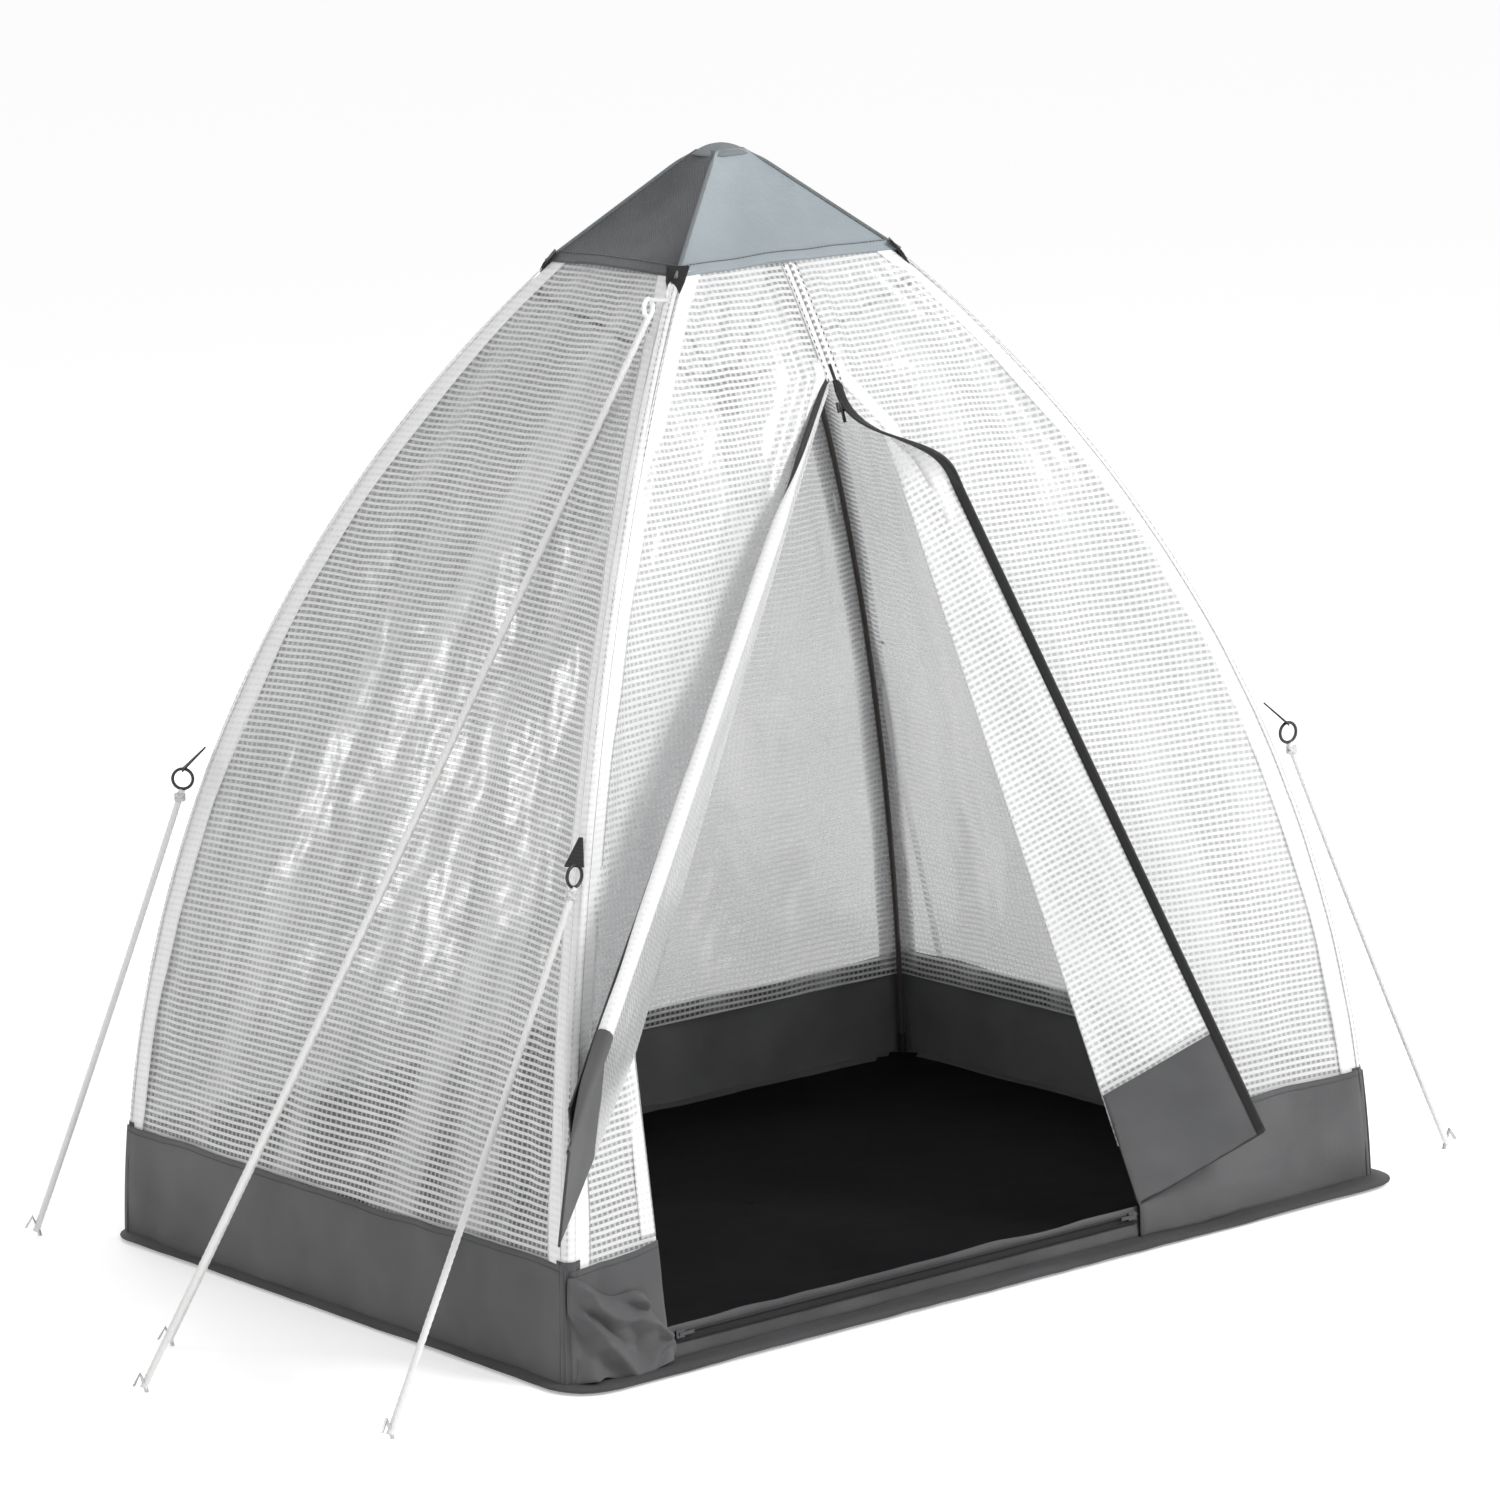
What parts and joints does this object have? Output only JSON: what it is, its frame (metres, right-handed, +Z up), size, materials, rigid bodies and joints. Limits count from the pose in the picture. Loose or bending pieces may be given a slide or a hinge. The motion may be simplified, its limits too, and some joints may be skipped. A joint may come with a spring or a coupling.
{
  "type": "pop up greenhouse",
  "caption": "Small square-domed tent of translucent foil on folding curved ribs, with a zipped triangular doorway, grey cap and skirt, ground sheet and guy lines.",
  "frame": {"origin": "on the ground, at the middle of the rectangle between the rib feet", "axes": "+Z up, +X to the right when facing the doorway, -Y out of the doorway"},
  "size_m": [2.1969, 1.3609, 1.7162],
  "materials": {
    "foil": "translucent woven plastic foil",
    "cap_fabric": "matt grey coated weave",
    "skirt_fabric": "matt dark grey weave",
    "ground_fabric": "matt black weave",
    "zip": "black coil on tape",
    "slider": "black painted",
    "fitting": "black moulded plastic",
    "pole": "dark glass fibre rod",
    "tube": "drawn tube",
    "rope": "white braided cord",
    "hook": "white moulded plastic",
    "peg": "bent wire"
  },
  "bodies": {
    "ground": {"ground_sheet": "ground_fabric", "guy_peg_fl": "peg", "guy_peg_fr": "peg", "guy_peg_bl": "peg", "guy_peg_br": "peg", "top_peg_1": "peg", "top_peg_2": "peg"},
    "hub": {"top_hub": "fitting", "centre_tube": "tube", "cap_cover": "cap_fabric"},
    "runner": {"runner": "fitting"},
    "rib_fl": {"rib_fl_pole": "pole", "rib_fl_socket": "fitting", "rib_fl_bracket": "fitting", "rib_fl_foot": "fitting", "guy_ring_fl": "fitting", "top_hook": "hook", "top_rope_1": "rope", "top_rope_2": "rope"},
    "strut_fl": {"strut_fl": "tube"},
    "guy_fl": {"guy_rope_fl": "rope"},
    "rib_fr": {"rib_fr_pole": "pole", "rib_fr_socket": "fitting", "rib_fr_bracket": "fitting", "rib_fr_foot": "fitting", "guy_ring_fr": "fitting"},
    "strut_fr": {"strut_fr": "tube"},
    "guy_fr": {"guy_rope_fr": "rope"},
    "rib_bl": {"rib_bl_pole": "pole", "rib_bl_socket": "fitting", "rib_bl_bracket": "fitting", "rib_bl_foot": "fitting", "guy_ring_bl": "fitting"},
    "strut_bl": {"strut_bl": "tube"},
    "guy_bl": {"guy_rope_bl": "rope"},
    "rib_br": {"rib_br_pole": "pole", "rib_br_socket": "fitting", "rib_br_bracket": "fitting", "rib_br_foot": "fitting", "guy_ring_br": "fitting"},
    "strut_br": {"strut_br": "tube"},
    "guy_br": {"guy_rope_br": "rope"},
    "wall_front": {"wall_front": "foil", "skirt_front": "skirt_fabric", "sill_zip": "zip"},
    "wall_back": {"wall_back": "foil", "skirt_back": "skirt_fabric"},
    "wall_left": {"wall_left": "foil", "skirt_left": "skirt_fabric"},
    "wall_right": {"wall_right": "foil", "skirt_right": "skirt_fabric"},
    "door_leaf_a": {"door_leaf_a": "foil"},
    "door_leaf_b": {"door_leaf_b": "foil"},
    "door_leaf_c": {"door_leaf_c": "foil", "door_zip_left": "zip"},
    "door_right": {"door_right": "foil", "door_zip_right": "zip"},
    "slider_door": {"slider_door": "slider"},
    "slider_left": {"slider_left": "slider"},
    "slider_right": {"slider_right": "slider"}
  },
  "joints": [
    {"name": "frame_fold", "type": "slide", "parent": "ground", "child": "hub", "axis": [0, 0, 1], "range_m": [0, 0.393], "deforming": ["wall_front", "wall_back", "skirt_front", "skirt_back", "door_leaf_a", "door_leaf_b", "door_leaf_c", "door_right", "door_zip_left", "door_zip_right", "sill_zip", "slider_door", "slider_left", "slider_right", "cap_cover", "wall_left", "wall_right", "skirt_left", "skirt_right", "guy_rope_fl", "guy_rope_fr", "guy_rope_bl", "guy_rope_br"]},
    {"name": "runner_slide", "type": "slide", "parent": "hub", "child": "runner", "axis": [0, 0, -1], "range_m": [0, 0.17321]},
    {"name": "rib_fl_hinge", "type": "hinge", "parent": "hub", "child": "rib_fl", "pos_m": [-0.04492, -0.03174, 1.555], "axis": [0.5771, -0.8167, 0], "range_deg": [0, 26]},
    {"name": "strut_fl_hinge", "type": "hinge", "parent": "rib_fl", "child": "strut_fl", "pos_m": [-0.21959, -0.15518, 1.38964], "axis": [0.5771, -0.8167, 0], "range_deg": [-54.15, 0]},
    {"name": "rib_fr_hinge", "type": "hinge", "parent": "hub", "child": "rib_fr", "pos_m": [0.04492, -0.03174, 1.555], "axis": [0.5771, 0.8167, 0], "range_deg": [0, 26]},
    {"name": "strut_fr_hinge", "type": "hinge", "parent": "rib_fr", "child": "strut_fr", "pos_m": [0.21959, -0.15518, 1.38964], "axis": [0.5771, 0.8167, 0], "range_deg": [-54.15, 0]},
    {"name": "rib_bl_hinge", "type": "hinge", "parent": "hub", "child": "rib_bl", "pos_m": [-0.04492, 0.03174, 1.555], "axis": [-0.5771, -0.8167, 0], "range_deg": [0, 26]},
    {"name": "strut_bl_hinge", "type": "hinge", "parent": "rib_bl", "child": "strut_bl", "pos_m": [-0.21959, 0.15518, 1.38964], "axis": [-0.5771, -0.8167, 0], "range_deg": [-54.15, 0]},
    {"name": "rib_br_hinge", "type": "hinge", "parent": "hub", "child": "rib_br", "pos_m": [0.04492, 0.03174, 1.555], "axis": [-0.5771, 0.8167, 0], "range_deg": [0, 26]},
    {"name": "strut_br_hinge", "type": "hinge", "parent": "rib_br", "child": "strut_br", "pos_m": [0.21959, 0.15518, 1.38964], "axis": [-0.5771, 0.8167, 0], "range_deg": [-54.15, 0]},
    {"name": "guy_fl_swing", "type": "hinge", "parent": "rib_fl", "child": "guy_fl", "pos_m": [-0.67004, -0.47349, 0.692], "axis": [0.1879, -0.9822, 0], "range_deg": [-30, 0]},
    {"name": "guy_fr_swing", "type": "hinge", "parent": "rib_fr", "child": "guy_fr", "pos_m": [0.67004, -0.47349, 0.692], "axis": [0.088, 0.9961, 0], "range_deg": [-30, 0]},
    {"name": "guy_bl_swing", "type": "hinge", "parent": "rib_bl", "child": "guy_bl", "pos_m": [-0.67004, 0.47349, 0.692], "axis": [-0.6592, -0.752, 0], "range_deg": [-30, 0]},
    {"name": "guy_br_swing", "type": "hinge", "parent": "rib_br", "child": "guy_br", "pos_m": [0.67004, 0.47349, 0.692], "axis": [-0.477, 0.8789, 0], "range_deg": [-30, 0]},
    {"name": "wall_front_hinge", "type": "hinge", "parent": "hub", "child": "wall_front", "pos_m": [0, -0.03174, 1.555], "axis": [1, 0, 0], "range_deg": [0, 16]},
    {"name": "wall_back_hinge", "type": "hinge", "parent": "hub", "child": "wall_back", "pos_m": [0, 0.03174, 1.555], "axis": [-1, 0, 0], "range_deg": [0, 16]},
    {"name": "wall_left_hinge", "type": "hinge", "parent": "hub", "child": "wall_left", "pos_m": [-0.04492, 0, 1.555], "axis": [0, -1, 0], "range_deg": [0, 21.9]},
    {"name": "wall_right_hinge", "type": "hinge", "parent": "hub", "child": "wall_right", "pos_m": [0.04492, 0, 1.555], "axis": [0, 1, 0], "range_deg": [0, 21.9]},
    {"name": "door_close", "type": "hinge", "parent": "wall_front", "child": "door_leaf_a", "pos_m": [0, -0.24096, 1.28524], "axis": [0.5324, 0.2006, 0.8224], "range_deg": [0, 132]},
    {"name": "door_leaf_b_fold", "type": "hinge", "parent": "door_leaf_a", "child": "door_leaf_b", "pos_m": [0, -0.24096, 1.28524], "axis": [0.6537, 0.3489, 0.6715], "range_deg": [0, 177]},
    {"name": "door_leaf_c_fold", "type": "hinge", "parent": "door_leaf_b", "child": "door_leaf_c", "pos_m": [-0.00208, -0.23868, 1.28608], "axis": [-0.571, -0.2307, -0.7879], "range_deg": [0, 177]},
    {"name": "door_right_fold", "type": "hinge", "parent": "wall_front", "child": "door_right", "pos_m": [0.059, -0.24096, 1.28524], "axis": [0.1788, -0.2331, -0.9559], "range_deg": [0, 150]},
    {"name": "zip_door", "type": "slide", "parent": "wall_front", "child": "slider_door", "axis": [0.055, -0.2366, -0.9701], "range_m": [0, 1.17]},
    {"name": "zip_left", "type": "slide", "parent": "wall_front", "child": "slider_left", "axis": [1, 0, 0], "range_m": [0, 0.612]},
    {"name": "zip_right", "type": "slide", "parent": "wall_front", "child": "slider_right", "axis": [-1, 0, 0], "range_m": [0, 0.172]}
  ],
  "couplings": [
    {"joint": "runner_slide", "follows": "frame_fold", "ratio": 0.44072},
    {"joint": "rib_fl_hinge", "follows": "frame_fold", "rad_per_m": 1.1547},
    {"joint": "strut_fl_hinge", "follows": "frame_fold", "rad_per_m": -2.4048},
    {"joint": "rib_fr_hinge", "follows": "frame_fold", "rad_per_m": 1.1547},
    {"joint": "strut_fr_hinge", "follows": "frame_fold", "rad_per_m": -2.4048},
    {"joint": "rib_bl_hinge", "follows": "frame_fold", "rad_per_m": 1.1547},
    {"joint": "strut_bl_hinge", "follows": "frame_fold", "rad_per_m": -2.4048},
    {"joint": "rib_br_hinge", "follows": "frame_fold", "rad_per_m": 1.1547},
    {"joint": "strut_br_hinge", "follows": "frame_fold", "rad_per_m": -2.4048},
    {"joint": "wall_front_hinge", "follows": "frame_fold", "rad_per_m": 0.71056},
    {"joint": "wall_back_hinge", "follows": "frame_fold", "rad_per_m": 0.71056},
    {"joint": "wall_left_hinge", "follows": "frame_fold", "rad_per_m": 0.97258},
    {"joint": "wall_right_hinge", "follows": "frame_fold", "rad_per_m": 0.97258},
    {"joint": "door_leaf_b_fold", "follows": "door_close", "ratio": 1.3409},
    {"joint": "door_leaf_c_fold", "follows": "door_close", "ratio": 1.3409},
    {"joint": "door_right_fold", "follows": "door_close", "ratio": 1.1364},
    {"joint": "zip_door", "follows": "door_close", "m_per_rad": 0.50784},
    {"joint": "zip_left", "follows": "door_close", "m_per_rad": 0.26563},
    {"joint": "zip_right", "follows": "door_close", "m_per_rad": 0.074648}
  ]
}
